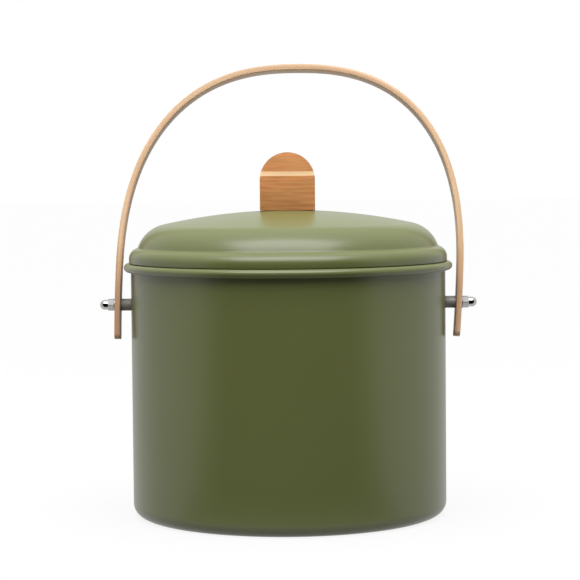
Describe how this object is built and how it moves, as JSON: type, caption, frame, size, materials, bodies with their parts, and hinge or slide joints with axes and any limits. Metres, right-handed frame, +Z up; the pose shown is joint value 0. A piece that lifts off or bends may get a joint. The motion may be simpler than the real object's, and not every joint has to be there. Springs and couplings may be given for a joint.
{
  "type": "compost caddy",
  "caption": "Round steel compost caddy with a rolled rim, a lift-off domed lid with a wooden knob and a charcoal filter underneath, and a bent-wood bail that swings on side bolts.",
  "frame": {"origin": "centre of the base, on the surface that the caddy stands on", "axes": "+Z up, X along the hinge line of the bail, front of the caddy towards -Y"},
  "size_m": [0.2644, 0.2296, 0.3154],
  "materials": {
    "painted_steel": "fine satin powder coat, olive green",
    "bail_wood": "pale bent wood, clear oil, grain along the strip",
    "knob_wood": "warm brown wood, clear oil, grain across the knob",
    "spacer_steel": "turned steel sleeve",
    "plated_steel": "zinc-plated fasteners",
    "bright_nut": "bright plated acorn nut",
    "filter_plastic": "moulded polypropylene",
    "charcoal_felt": "carbon-loaded felt pad"
  },
  "bodies": {
    "bucket": {"bucket_shell": "painted_steel", "left_pivot_bolt": "plated_steel", "right_pivot_bolt": "plated_steel", "left_inner_washer": "plated_steel", "right_inner_washer": "plated_steel", "left_spacer": "spacer_steel", "right_spacer": "spacer_steel", "left_outer_washer": "plated_steel", "right_outer_washer": "plated_steel", "left_acorn_nut": "bright_nut", "right_acorn_nut": "bright_nut"},
    "bail": {"bail_handle": "bail_wood"},
    "lid": {"lid_shell": "painted_steel", "lid_skirt": "painted_steel", "lid_knob": "knob_wood", "knob_screws": "plated_steel", "knob_washers": "plated_steel", "filter_frame": "filter_plastic", "charcoal_filter": "charcoal_felt", "filter_cover": "filter_plastic"}
  },
  "joints": [
    {"name": "bail_swing", "type": "hinge", "parent": "bucket", "child": "bail", "pos_m": [0, 0, 0.1477], "axis": [1, 0, 0], "range_deg": [-127.5, 141.5]},
    {"name": "lid_lift", "type": "slide", "parent": "bucket", "child": "lid", "axis": [0, 0, 1], "range_m": [0, 0.028]}
  ]
}
